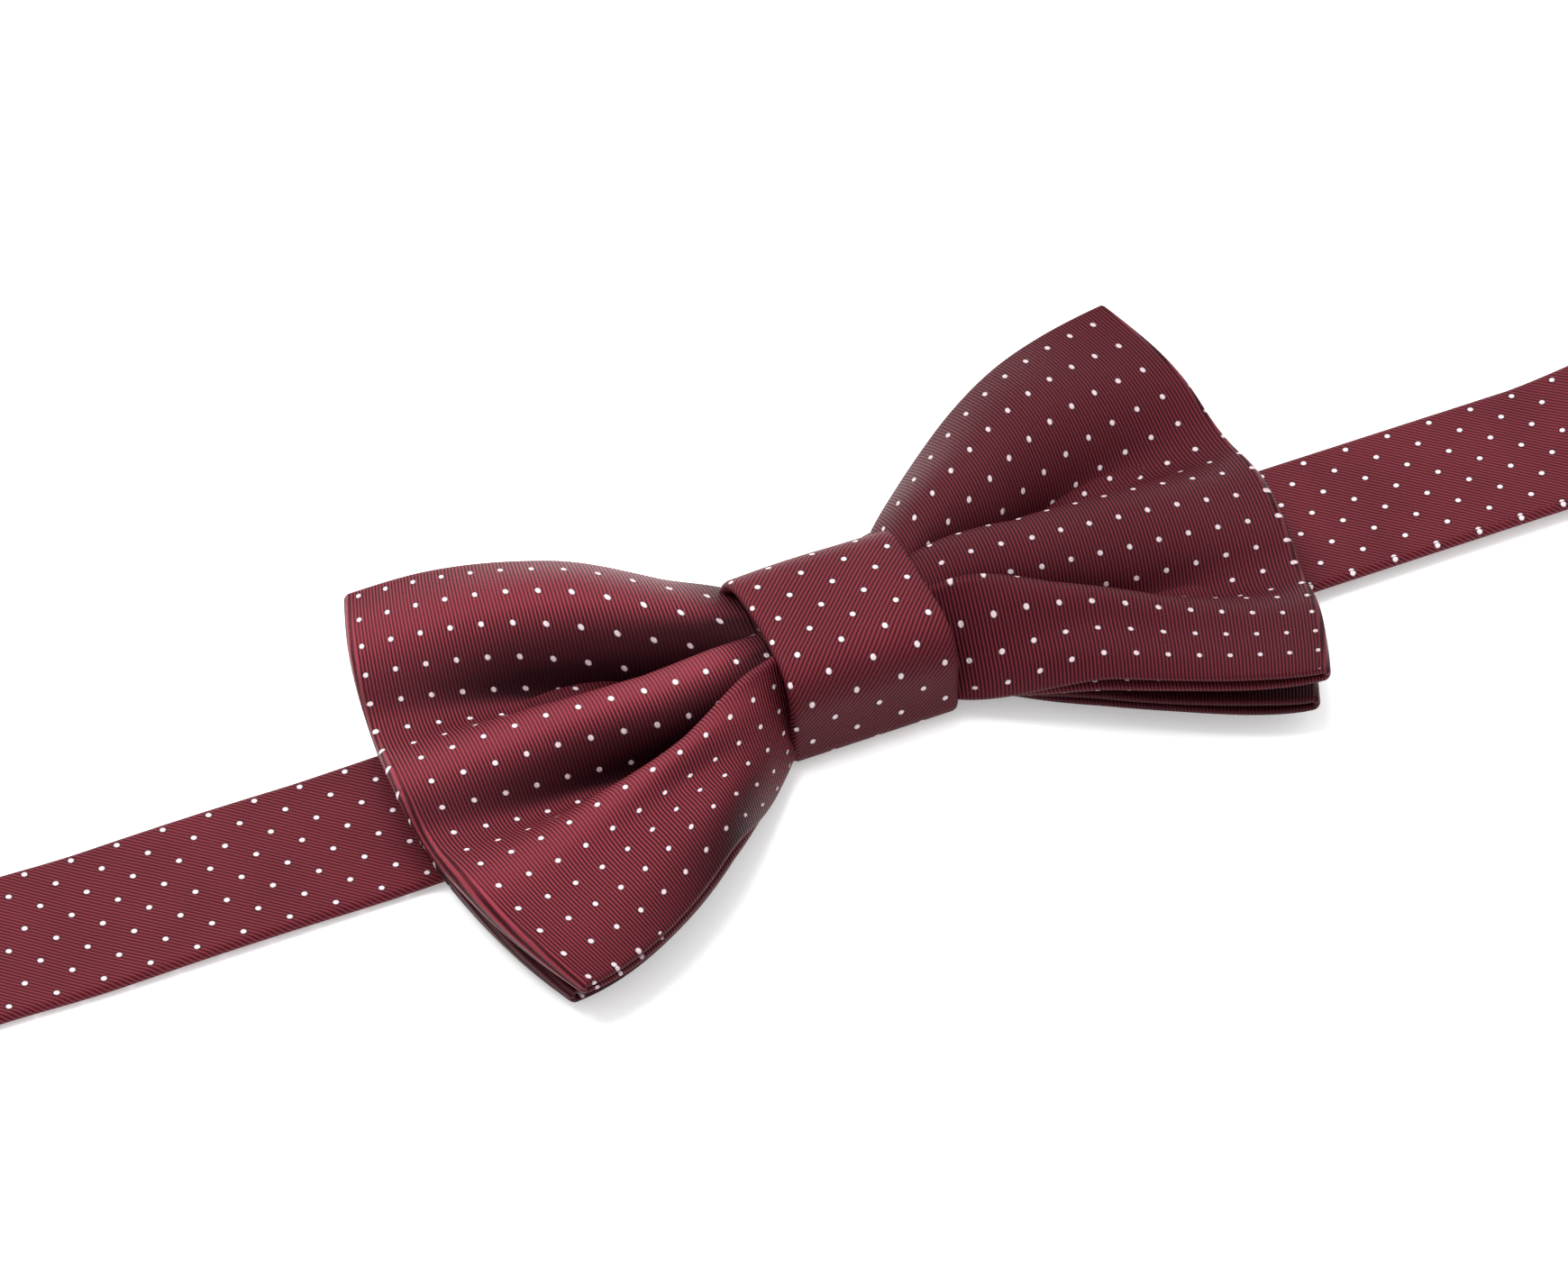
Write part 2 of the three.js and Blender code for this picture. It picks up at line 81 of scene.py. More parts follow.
# one material and its nodes
class Finish:
    def __init__(self, name, **surface):
        self.material = bpy.data.materials.new(name)
        self.material.use_nodes = True
        self.tree = self.material.node_tree
        self.shader = self.tree.nodes["Principled BSDF"]
        for socket, value in surface.items():
            self.shader.inputs[socket].default_value = value

    def feed(self, socket, value):
        if isinstance(value, Field):
            self.tree.links.new(value.socket, socket)
        elif isinstance(value, bpy.types.NodeSocket):
            self.tree.links.new(value, socket)
        else:
            socket.default_value = value

    def node(self, kind, settings, values):
        made = self.tree.nodes.new(kind)
        for name, value in settings.items():
            setattr(made, name, value)
        for name, value in values.items():
            self.feed(made.inputs[name], value)
        return made

    def sum(self, operation, *terms):
        made = self.node("ShaderNodeMath", {"operation": operation}, dict(enumerate(terms)))
        return Field(self, made.outputs[0])

    def step(self, value, low, high):  # smooth 0 to 1 between low and high
        settings = {"interpolation_type": "SMOOTHSTEP"}
        values = {"Value": value, "From Min": low, "From Max": high}
        return Field(self, self.node("ShaderNodeMapRange", settings, values).outputs[0])

    def blendColor(self, factor, first, second):
        values = {0: factor, 6: first, 7: second}
        return self.node("ShaderNodeMix", {"data_type": "RGBA"}, values).outputs[2]

    def noise(self, vector, scale, detail):
        values = {"Vector": vector, "Scale": scale, "Detail": detail}
        return Field(self, self.node("ShaderNodeTexNoise", {}, values).outputs[0])

    def bump(self, height, distance, strength):
        values = {"Height": height, "Distance": distance, "Strength": strength}
        made = self.node("ShaderNodeBump", {}, values)
        self.feed(self.shader.inputs["Normal"], made.outputs["Normal"])


silk = {
    "dark": (0.016, 0.0024, 0.0040, 1),
    "light": (0.185, 0.0245, 0.036, 1),
    "deep": (0.0060, 0.0009, 0.0019, 1),  # painted shade down in the folds
    "paintedHighlight": (0.34, 0.055, 0.078, 1),  # painted highlight along the crests
    "dot": (0.66, 0.54, 0.57, 1),
    # a dot in painted shade
    "shadedDot": (0.20, 0.13, 0.15, 1),
    "dotRadius": 0.087,  # in dot pitches
    "dotEdge": 0.022,  # how far a dot's edge fades
    "dotShadowWidth": 0.07,  # width of the painted shadow ring round each dot
    "ribs": 8.4,  # to a dot pitch
    "picks": 17.0,
    # how strongly the painted fold shade and the painted crest highlight are mixed in
    "shadeMix": 0.97,
    "highlightMix": 0.42,
    "relief": 0.14,  # height of the weave, in mm
    "specular": 0.16,
    "specularTint": (1.0, 0.30, 0.36, 1),
}


# contrast is between the ribs and the gaps
def silkFinish(name, roughness, ribDepth, contrast, brightness):
    finish = Finish(name, Roughness=roughness)
    finish.shader.inputs["Specular IOR Level"].default_value = silk["specular"]
    finish.shader.inputs["Specular Tint"].default_value = silk["specularTint"]
    cloth = finish.node("ShaderNodeUVMap", {"uv_map": "cloth"}, {}).outputs[0]
    parts = finish.node("ShaderNodeSeparateXYZ", {}, {0: cloth})
    u = Field(finish, parts.outputs[0])
    v = Field(finish, parts.outputs[1])
    # the ribs run across the cloth, crossed by finer picks
    drift = finish.noise(cloth, 1.7, 2.0)
    fibre = finish.noise(cloth, 46.0, 2.0)
    turn = 2 * math.pi
    rib = finish.sum("SINE", u * (silk["ribs"] * turn) + v * 1.6 + drift * 1.2) * 0.5 + 0.5
    pick = finish.sum("SINE", v * (silk["picks"] * turn) + u * 9.0) * 0.5 + 0.5
    # one dot to a square of the grid
    du = finish.sum("FRACT", u) - 0.5
    dv = finish.sum("FRACT", v) - 0.5
    away = finish.sum("SQRT", du * du + dv * dv) + (fibre - 0.5) * 0.03
    dot = 1 - finish.step(away, silk["dotRadius"] - silk["dotEdge"], silk["dotRadius"] + silk["dotEdge"])
    # a painted shadow ring round each dot
    ring = 1 - finish.step(away, silk["dotRadius"], silk["dotRadius"] + silk["dotShadowWidth"])
    shadeMask = ring * (1 - dot)
    # painted shade (above 0) and painted highlight (below 0) from the mesh's fold attribute
    paintedLightNode = finish.node("ShaderNodeAttribute", {"attribute_name": "fold"}, {})
    fold = Field(finish, paintedLightNode.outputs["Fac"])
    shade = finish.sum("MAXIMUM", fold, 0.0)
    paintedHighlight = finish.sum("MAXIMUM", 0 - fold, 0.0)
    worn = finish.noise(cloth, 0.35, 3.0)
    ribTone = finish.step(rib, 0.22, 0.78) * contrast + (1 - contrast) * 0.40
    tone = ribTone * 0.80 + pick * 0.08 + fibre * 0.36 + worn * 0.24 - 0.23
    # darkens the painted shadow ring round each dot
    tone = tone * (1 - shadeMask * 0.75) * brightness
    ground = finish.blendColor(finish.step(tone, 0.0, 1.0), silk["dark"], silk["light"])
    # painted highlight along the crests
    lit = finish.blendColor(paintedHighlight * silk["highlightMix"], ground, silk["paintedHighlight"])
    # painted shade in the folds
    shaded = finish.blendColor(shade * silk["shadeMix"], lit, silk["deep"])
    # the dots take the painted fold shade too
    whites = finish.blendColor(shade * 0.60, silk["dot"], silk["shadedDot"])
    colour = finish.blendColor(dot, shaded, whites)
    finish.feed(finish.shader.inputs["Base Color"], colour)
    finish.feed(finish.shader.inputs["Roughness"], roughness + dot * 0.25 + (1 - rib) * 0.10)
    height = rib * ribDepth + pick * 0.12 + fibre * 0.18 + dot * 1.1
    finish.bump(height, silk["relief"] * mm, 1.0)
    return finish.material


def canvasFinish():
    finish = Finish("canvasInterlining", Roughness=0.95)
    cloth = finish.node("ShaderNodeUVMap", {"uv_map": "cloth"}, {}).outputs[0]
    parts = finish.node("ShaderNodeSeparateXYZ", {}, {0: cloth})
    turn = 2 * math.pi
    warp = finish.sum("SINE", Field(finish, parts.outputs[0]) * (6 * turn)) * 0.5 + 0.5
    weft = finish.sum("SINE", Field(finish, parts.outputs[1]) * (6 * turn)) * 0.5 + 0.5
    fibre = finish.noise(cloth, 30.0, 3.0)
    weave = warp * weft * 0.6 + fibre * 0.4
    colour = finish.blendColor(weave, (0.55, 0.50, 0.42, 1), (0.86, 0.82, 0.74, 1))
    finish.feed(finish.shader.inputs["Base Color"], colour)
    finish.bump(warp + weft, 0.1 * mm, 0.6)
    return finish.material


def threadFinish():
    finish = Finish("sewingThread", Roughness=0.6)
    finish.shader.inputs["Sheen Weight"].default_value = 0.3
    place = finish.node("ShaderNodeTexCoord", {}, {}).outputs["Object"]
    diagonal = {"bands_direction": "DIAGONAL"}
    ply = finish.node("ShaderNodeTexWave", diagonal, {"Vector": place, "Scale": 900.0})
    twist = Field(finish, ply.outputs[1])
    fibre = finish.noise(place, 4000.0, 2.0)
    strand = twist * 0.6 + fibre * 0.4
    colour = finish.blendColor(strand, (0.05, 0.008, 0.013, 1), (0.17, 0.03, 0.045, 1))
    finish.feed(finish.shader.inputs["Base Color"], colour)
    finish.bump(twist, 0.08 * mm, 0.7)
    return finish.material


def nickelFinish():
    finish = Finish("polishedNickel", Metallic=1.0)
    place = finish.node("ShaderNodeTexCoord", {}, {}).outputs["Object"]
    along = {"Vector": place, "Scale": (300.0, 3000.0, 3000.0)}
    brushed = finish.node("ShaderNodeMapping", {}, along).outputs[0]
    grain = finish.noise(brushed, 1.0, 4.0)
    cloud = finish.noise(place, 220.0, 3.0)
    colour = finish.blendColor(cloud, (0.60, 0.585, 0.56, 1), (0.78, 0.77, 0.745, 1))
    finish.feed(finish.shader.inputs["Base Color"], colour)
    finish.feed(finish.shader.inputs["Roughness"], 0.16 + grain * 0.10 + cloud * 0.08)
    finish.bump(grain, 0.02 * mm, 0.25)
    return finish.material


bowSilk = silkFinish("ribbedSilk", 0.40, 0.75, 1.0, 1.0)
bandSilk = silkFinish("biasSilk", 0.50, 0.40, 0.70, 0.80)
canvas = canvasFinish()
thread = threadFinish()
nickel = nickelFinish()
print("finishes made")


def smooth(x, low=0.0, high=1.0):
    t = np.clip((np.asarray(x, float) - low) / (high - low), 0, 1)
    return t * t * (3 - 2 * t)


def unit(vectors):
    return vectors / np.maximum(np.linalg.norm(vectors, axis=-1, keepdims=True), 1e-9)


def turned(uv, degrees, shift=(0.0, 0.0)):  # the weave's place on a piece, in dot pitches
    angle = math.radians(degrees)
    u = uv[..., 0] * math.cos(angle) - uv[..., 1] * math.sin(angle) + shift[0]
    v = uv[..., 0] * math.sin(angle) + uv[..., 1] * math.cos(angle) + shift[1]
    return np.stack([u, v], -1)


def tubeFaces(rows, around):
    first = np.arange(rows - 1)[:, None] * around
    here = np.arange(around)
    after = (here + 1) % around
    second = first + around
    return np.stack([first + here, first + after, second + after, second + here], -1).reshape(-1, 4)


# Joins closed tubes into one object. Each tube is (places, uv, fold): mm, dot pitches, and painted light,
# from -1 for a painted highlight to 1 for painted shade deep in a fold.
def tubesObject(name, tubes, finish):
    places, quads, ends, corners, endCorners, tones = [], [], [], [], [], []
    start = 0
    for ring, uv, tone in tubes:
        rows, around = ring.shape[:2]
        faces = tubeFaces(rows, around)
        a, b, c, d = (ring.reshape(-1, 3)[faces[:, k]] for k in range(4))
        volume = (a * (np.cross(b, c) + np.cross(c, d))).sum()
        mapped = np.stack([uv[:-1, :-1], uv[:-1, 1:], uv[1:, 1:], uv[1:, :-1]], 2).reshape(-1, 4, 2)
        caps = [list(range(around))[::-1], [(rows - 1) * around + k for k in range(around)]]
        capMaps = [uv[0, :-1][::-1], uv[-1, :-1]]
        if volume < 0:
            faces = faces[:, ::-1]
            mapped = mapped[:, ::-1]
            caps = [cap[::-1] for cap in caps]
            capMaps = [capMap[::-1] for capMap in capMaps]
        places.append(ring.reshape(-1, 3))
        tones.append(np.broadcast_to(tone, ring.shape[:2]).reshape(-1))
        quads += (faces + start).tolist()
        corners.append(mapped.reshape(-1, 2))
        ends += [[k + start for k in cap] for cap in caps]
        endCorners += capMaps
        start += rows * around
    mesh = bpy.data.meshes.new(name)
    mesh.from_pydata((np.concatenate(places) * mm).tolist(), [], quads + ends)
    layer = mesh.uv_layers.new(name="cloth")
    layer.data.foreach_set("uv", np.concatenate(corners + endCorners).astype(np.float32).ravel())
    # the painted shade and highlight go to the silk as the fold attribute
    paintedFoldLight = mesh.attributes.new("fold", "FLOAT", "POINT")
    paintedFoldLight.data.foreach_set("value", np.concatenate(tones).astype(np.float32))
    mesh.shade_smooth()
    piece = bpy.data.objects.new(name, mesh)
    bpy.context.collection.objects.link(piece)
    mesh.materials.append(finish)
    return piece


# Gives a sheet's middle surface its thickness, with rounded long edges.
def thicken(mid, uv, thickness, rimSteps=4):
    along = np.gradient(mid, axis=0)
    across = np.gradient(mid, axis=1)
    out = unit(np.cross(along, across)) * thickness / 2
    rims = []
    for side, direction in ((-1, 1), (0, -1)):
        away = unit(across[:, side]) * direction * thickness / 2
        angles = [math.pi * (k + 1) / (rimSteps + 1) for k in range(rimSteps)]
        if side == 0:
            angles = angles[::-1]
        rim = [mid[:, side] + out[:, side] * math.cos(t) + away * math.sin(t) for t in angles]
        rims.append(np.stack(rim, 1))
    ring = np.concatenate([mid + out, rims[0], (mid - out)[:, ::-1], rims[1]], 1)
    # the weave runs on round the edges
    step = math.pi * thickness / 2 / (rimSteps + 1) / dotPitch
    width = uv[:, -1:, 1] - uv[:, :1, 1]
    edge = uv[:, -1:, 1]
    steps = step * np.arange(1, rimSteps + 1)
    rimOne = np.stack([np.repeat(uv[:, -1:, 0], rimSteps, 1), edge + steps], -1)
    backV = edge + step * (rimSteps + 1) + (edge - uv[:, ::-1, 1])
    back = np.stack([uv[:, ::-1, 0], backV], -1)
    top = edge + step * (rimSteps + 1) + width
    rimTwo = np.stack([np.repeat(uv[:, :1, 0], rimSteps, 1), top + steps], -1)
    close = np.stack([uv[:, :1, 0], top + step * (rimSteps + 1)], -1)
    return ring, np.concatenate([uv, rimOne, back, rimTwo, close], 1)


def ripple(places, scale, seed):  # small, smooth unevenness in mm
    flat = places.reshape(-1, 3)
    lift = [noise.noise(Vector(p * scale) + Vector((seed, 0, 0))) for p in flat]
    return np.array(lift).reshape(places.shape[:-1])


# the bow's wings, in mm
bow = {
    "knotEdge": 10.0,  # where a wing comes out of the knot
    "inside": 7.5,  # how far its gathered end runs on inside the knot
    "reach": 51.0,  # cloth from the knot's edge to the outer fold
    "width": {"front": 73.0, "back": 65.0},
    "insideWaist": 14.0,
    "foot": 3.0,  # height of the lowest panel's edge beside the knot
    "thickness": 0.95,
    "liningThickness": 0.35,
    "rows": 64,  # from the knot to the outer fold
    "columns": 132,  # from the top edge to the lower edge
    "spread": 1.2,  # rows stand closer together beside the knot
    "innerRows": 6,
    "layerInset": 1.1,  # the rear layer's edge stays inside the front one's
    "wrinkle": 0.5,
}

# height of each layer's middle at the knot and at the outer fold, and its share of the pleats
layers = {
    "front": [(11.1, 9.2, 1.0), (8.0, 7.9, 0.50)],
    "back": [(6.3, 4.5, 0.38), (4.6, 3.1, 0.22)],
}

# Each wing's outline: how far out the fold stands at its top, middle and bottom, the Y of both corners
# and of both edges at the knot, and how fast each edge opens. Valleys and crests are shares of the
# cloth's width, and a path is how far down the wing a crest stands, from the knot to the outer fold.
wings = {
    "left": {
        "side": -1,
        "weave": 3.6,
        "shift": (0.30, 0.45),
        "seed": 3.0,
        "valleys": (0.30, 0.60),
        "crests": (0.395, 0.695),
        "paths": ((0.49, 0.475, 0.433, 0.41), (0.75, 0.745, 0.714, 0.695)),
        "top": 0.6,  # lift of the outer corners
        "bottom": -1.6,
        "edgeShare": 0.45,  # what is left of the pleats at the outer fold
        "lowPanelShade": 0.25,  # painted shade on the lowest panel beside the knot
        "crestHighlight": 0.75,  # painted highlight along the crests
        "bright": -0.06,  # painted highlight that lightens the whole wing; below zero, painted shade
        "front": {
            "out": (52.7, 58.8, 50.2),
            "corners": (29.5, -38.9),
            "waist": (11.3, -9.8),
            "open": (2.45, 1.72),
        },
        "back": {
            "out": (50.5, 57.4, 50.2),
            "corners": (26.5, -35.6),
            "waist": (10.5, -8.2),
            "open": (2.5, 1.85),
        },
    },
    "right": {
        "side": 1,
        "weave": 1.2,
        "shift": (0.15, 0.20),
        "seed": 11.0,
        "valleys": (0.31, 0.68),
        "crests": (0.42, 0.79),
        "paths": ((0.33, 0.45, 0.46, 0.475), (0.60, 0.73, 0.80, 0.83)),
        "top": 4.8,
        "bottom": 1.0,
        "edgeShare": 0.30,
        "lowPanelShade": 0.95,
        "crestHighlight": 1.9,
        # painted highlight that lightens the whole wing
        "bright": 0.34,
        "front": {
            "out": (51.8, 57.6, 51.0),
            "corners": (33.8, -31.0),
            "waist": (11.9, -9.8),
            "open": (2.05, 1.34),
        },
        "back": {
            "out": (50.0, 56.6, 49.8),
            "corners": (31.0, -31.0),
            "waist": (10.6, -8.0),
            "open": (1.9, 1.30),
        },
    },
}


# Slope of the cloth across the wing, from rising (1) to falling (-1). b is a share of the cloth's width.
def pleatPattern(spec, b, part):
    (v1, v2), (c1, c2) = spec["valleys"], spec["crests"]
    soft = 0.012
    # place, slope in the gathers beside the knot, slope at the outer fold
    turns = [
        (0.0, 0.30, 0.32),
        (0.07, 0.05, 0.18),
        (v1 - 0.16, -0.50, -0.35),
        (v1 - soft, -1.0, -0.90),
        (v1 + soft, 1.0, 1.0),
        (c1 - soft, 0.95, 0.95),
        (c1 + 0.02, 0.05, 0.10),
        (v2 - 0.10, -0.55, -0.55),
        (v2 - soft, -1.0, -1.0),
        (v2 + soft, 1.0, 1.0),
        (c2 - soft, 0.95, 0.95),
        (c2 + 0.025, 0.00, -0.20),
        (c2 + 0.07, -0.40, -0.50),
        (c2 + 0.13, -0.20, 0.10),
        (0.95, -0.95, -0.35),
        (1.0, -1.10, -0.45),
    ]
    marks, gathered, opened = np.array(turns).T
    blend = float(smooth(part, 0.0, 0.42))
    return np.interp(b, marks, gathered * (1 - blend) + opened * blend)


# a Gaussian blur; sigma is a share of the width
def softened(pattern, sigma):
    count = len(pattern)
    reach = int(max(2, 3 * sigma * count))
    k = np.arange(-reach, reach + 1)
    kernel = np.exp(-0.5 * (k / (sigma * count)) ** 2)
    padded = np.concatenate([np.full(reach, pattern[0]), pattern, np.full(reach, pattern[-1])])
    return np.convolve(padded, kernel / kernel.sum(), mode="valid")


# The section of a wing: a strip of the given width, folded until it is only as tall as height.
def pleatedSection(pattern, width, height, share):
    b = np.linspace(0, 1, len(pattern))
    angles = np.linspace(0.02, 2.5, 100)
    ratios = np.array([np.cos(angle * pattern).mean() for angle in angles])
    last = int(np.argmin(ratios)) + 1
    angle = np.interp(-height / width, -ratios[:last], angles[:last])
    step = width / (len(pattern) - 1)
    slope = angle * pattern
    middle = (slope[1:] + slope[:-1]) / 2
    y = np.concatenate([[0], np.cumsum(np.cos(middle) * step)])
    z = np.concatenate([[0], np.cumsum(np.sin(middle) * step)])
    z -= z[0] + (z[-1] - z[0]) * b
    z = (z - z.mean()) * share
    return y / y[-1], z, slope


# painted shade and painted highlights for the wings' folds
paintedFoldLight = {
    "slopeShade": 1.15,  # painted shade where the cloth turns away from the light
    "slopeRange": (0.12, 0.80),
    # painted shade deep in the hollows
    "hollowShade": 0.5,
    "knotShade": 0.8,  # painted shade just outside the knot
    "crestOffset": 0.05,  # the painted highlight lies a little below each crest
    "crestWidth": 0.045,
    # a painted highlight across the top panel
    "topHighlight": 0.35,
    "topPlace": 0.10,
    "topWidth": 0.07,
}


# Painted shade down in the folds and painted highlights along the crests, for one section of a wing.
def paintedFoldTone(spec, b, z, slope, part, last, fall):
    shadeMask = smooth((z.max() - z) / max(z.max() - z.min(), 0.1), 0.35, 1.0) * (1 - part) ** 0.7
    facingAwayShade = paintedFoldLight["slopeShade"] * smooth(-slope, *paintedFoldLight["slopeRange"]) * (1 - 0.50 * part)
    beside = paintedFoldLight["knotShade"] * (1 - float(smooth(part, 0.0, 0.15)))
    tone = np.clip(facingAwayShade + paintedFoldLight["hollowShade"] * shadeMask + beside, 0, 1)
    tone[last:] += (spec["lowPanelShade"] - tone[last:]) * fall
    for crest in spec["crests"]:
        band = np.exp(-((b - crest - paintedFoldLight["crestOffset"]) / paintedFoldLight["crestWidth"]) ** 2)
        tone -= spec["crestHighlight"] * band * (1 - 0.55 * part) * float(smooth(part, 0.02, 0.2))
    topBand = paintedFoldLight["topHighlight"] * np.exp(-((b - paintedFoldLight["topPlace"]) / paintedFoldLight["topWidth"]) ** 2)
    # painted highlight over the whole wing and along the top panel
    return tone - (spec["bright"] + topBand) * float(smooth(part, 0.05, 0.4))


# One layer of a wing's loop, from the knot to the outer fold.
def wingLayer(wing, loop, level):
    spec = wings[wing]
    shape = spec[loop]
    atKnot, atFold, share = layers[loop][level]
    rows = bow["rows"]
    a = np.linspace(0, 1, rows) ** bow["spread"]
    b = np.linspace(0, 1, bow["columns"])
    grid = np.zeros((rows, len(b), 3))
    tone = np.zeros((rows, len(b)))
    outTop, outMiddle, outLow = shape["out"]
    crests = [int(round(crest * (len(b) - 1))) for crest in spec["crests"]]
    last = crests[1]
    for row, part in enumerate(a):
        upper, lower = (1 - (1 - part) ** power for power in shape["open"])
        top = shape["waist"][0] + (shape["corners"][0] - shape["waist"][0]) * upper
        low = shape["waist"][1] + (shape["corners"][1] - shape["waist"][1]) * lower
        low += bow["layerInset"] * level * (1 - float(smooth(part, 0, 0.4)))
        crisp = 0.008 + 0.034 * part
        held = share * (1 - (1 - spec["edgeShare"]) * part ** 3)
        held *= 0.62 + 0.38 * float(smooth(part, 0.0, 0.16))
        pattern = softened(pleatPattern(spec, b, part), crisp)
        down, z, slope = pleatedSection(pattern, bow["width"][loop], top - low, held)
        # each crest keeps to its own line from the knot to the outer fold
        now = [down[crest] for crest in crests]
        wanted = [float(np.interp(part, (0, 0.33, 0.6, 1), path)) for path in spec["paths"]]
        down = np.interp(down, [-1, 0] + now + [1, 2], [-1, 0] + wanted + [1, 2])
        # beside the knot the lowest panel falls straight to its edge
        fall = 1 - float(smooth(part, 0.0, 0.45))
        shown = 1 - (1 - (b[last:] - b[last]) / (1 - b[last])) ** 1.5
        fallDown = down[last] + (1 - down[last]) * shown
        fallHeight = z[last] + (bow["foot"] - atKnot - z[last]) * shown
        down[last:] += (fallDown - down[last:]) * fall
        z[last:] += (fallHeight - z[last:]) * fall
        tone[row] = paintedFoldTone(spec, b, z, slope, part, last, fall)
        lift = spec["top"] * np.clip(1 - b / 0.62, 0, 1)
        lift += spec["bottom"] * np.clip(2 * b - 1, 0, 1) ** 1.4
        z = z + atKnot + (atFold - atKnot) * part ** 0.8 + lift * part ** 1.5
        line = 2 * down - 1
        out = outMiddle + (outTop - outMiddle) * np.clip(-line, 0, 1) ** 2
        out += (outLow - outMiddle) * np.clip(line, 0, 1) ** 2
        grid[row, :, 0] = bow["knotEdge"] + (out - bow["knotEdge"]) * part
        grid[row, :, 1] = top + (low - top) * down
        grid[row, :, 2] = z
    # the gathered end inside the knot
    count = bow["innerRows"]
    inner = np.repeat(grid[:1], count, 0)
    waist = shape["waist"][0] - shape["waist"][1]
    for k in range(count):
        deep = 1 - k / count
        inner[k, :, 0] -= bow["inside"] * deep
        inner[k, :, 1] *= 1 - (1 - bow["insideWaist"] / waist) * smooth(deep)
        inner[k, :, 2] = atKnot + (inner[k, :, 2] - atKnot) * (1 - 0.7 * smooth(deep))
    grid = np.concatenate([inner, grid])
    # the gathered end inside the knot gets full painted shade
    tone = np.concatenate([np.ones((count, len(b))), tone])
    lengths = np.concatenate([-bow["inside"] * (1 - np.arange(count) / count), a * bow["reach"]])
    share = np.concatenate([np.zeros(count), a])
    grid[..., 0] *= spec["side"]
    uneven = ripple(grid, 0.07, spec["seed"] + level) * bow["wrinkle"]
    grid[..., 2] += uneven * smooth(share, 0, 0.3)[:, None]
    return grid, lengths, tone


# A wing's whole loop: out over the front layer, round the outer fold and back in the rear layer.
def wingLoop(wing, loop, thickness, margin=0):
    spec = wings[wing]
    front, lengths, tone = wingLayer(wing, loop, 0)
    rear, _, _ = wingLayer(wing, loop, 1)
    top, low = front[-1], rear[-1]
    centre = (top + low) / 2
    half = (top - low) / 2
    outward = unit((top - front[-4]) * np.array([1.0, 1.0, 0.0]))
    outward = np.array([softened(outward[:, k], 0.08) for k in range(3)]).T
    deep = np.linalg.norm(half, axis=1, keepdims=True) * 0.75
    turns = [math.pi * (k + 1) / 9 for k in range(8)]
    fold = np.stack([centre + half * math.cos(t) + outward * deep * math.sin(t) for t in turns])
    mid = np.concatenate([front, fold, rear[::-1]])
    arc = float(deep.mean()) * math.pi
    reach = lengths[-1]
    bend = reach + arc * np.array(turns) / math.pi
    along = np.concatenate([lengths, bend, reach + arc + (reach - lengths[::-1])])
    across = np.linspace(0, 1, mid.shape[1]) * bow["width"][loop]
    uv = np.stack(np.broadcast_arrays(along[:, None], across[None, :]), -1) / dotPitch
    uv = turned(uv * np.array([spec["side"], -1.0]), spec["weave"], spec["shift"])
    if margin:
        mid = mid[:, margin:-margin]
        uv = uv[:, margin:-margin]
    ring, mapped = thicken(mid, uv, thickness)
    # painted shade on the rear layers and all over the back loop; round the outer fold the front loop's
    # painted light fades to shade
    rearShade = 0.55 if loop == "front" else 0.85
    tones = np.full(ring.shape[:2], rearShade)
    if loop == "front" and not margin:
        rows, columns = tone.shape
        tones[:rows, :columns] = tone
        fade = np.linspace(1, 0, len(fold) // 2)[:, None]
        tones[rows:rows + len(fade), :columns] = tone[-1] * fade + 0.3 * (1 - fade)
    return ring, mapped, tones


def makeBow(loop):
    node = loop + "_bow_silk"
    tubes = [wingLoop(wing, loop, bow["thickness"]) for wing in wings]
    piece = tubesObject(loop + "Bow", tubes, bowSilk)
    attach(piece, "bow")
    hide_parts(node)
    inner = [wingLoop(wing, loop, bow["liningThickness"], margin=3) for wing in wings]
    lining = tubesObject(loop + "BowInterlining", inner, canvas)
    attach(lining, "bow")
    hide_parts(loop + "_bow_interlining")
    print(loop, "bow made")


# the band round the middle, in mm
knot = {
    "width": 21.0,
    "deep": 11.6,  # half of its size along Y
    "high": 15.3,
    "topRound": 5.2,
    "backRound": 2.2,
    "dome": 0.9,
    "thickness": 1.5,
    "seam": -4.0,
    "seamGap": 0.35,
    "liningThickness": 0.4,
    "liningInset": 2.0,  # how much narrower the interlining is
    "flatShare": 0.9,  # the rounded corners are shorter than a square's
    "weave": 45.0,
}


# The band's path round the waist in Y and Z, from the seam on the back all the way round to it.
def knotPath(inset):
    half = knot["deep"] - inset
    low, high = inset, knot["high"] - knot["dome"] - inset
    back, top = knot["backRound"] - inset * 0.6, knot["topRound"] - inset * 0.6
    points = []

    def corner(cy, cz, radius, start):
        for k in range(9):
            angle = start + math.pi / 2 * k / 8
            points.append((cy + radius * math.cos(angle), cz + radius * math.sin(angle)))

    points.append((knot["seam"] + knot["seamGap"] / 2, low))
    for y in np.linspace(knot["seam"] + 1, half - back - 1, 10):
        points.append((y, low))
    corner(half - back, low + back, back, -math.pi / 2)
    for z in np.linspace(low + back, high - top, 6)[1:-1]:
        points.append((half, z))
    corner(half - top, high - top, top, 0)
    for y in np.linspace(half - top, -half + top, 16)[1:-1]:
        points.append((y, high))
    corner(-half + top, high - top, top, math.pi / 2)
    for z in np.linspace(high - top, low + back, 6)[1:-1]:
        points.append((-half, z))
    corner(-half + back, low + back, back, math.pi)
    for y in np.linspace(-half + back + 1, knot["seam"] - 1, 4):
        points.append((y, low))
    points.append((knot["seam"] - knot["seamGap"] / 2, low))
    path = np.array(points)
    crown = np.cos(np.clip(path[:, 0] / half, -1, 1) * math.pi / 2)
    path[:, 1] += knot["dome"] * crown * smooth(path[:, 1], low, high)
    return path


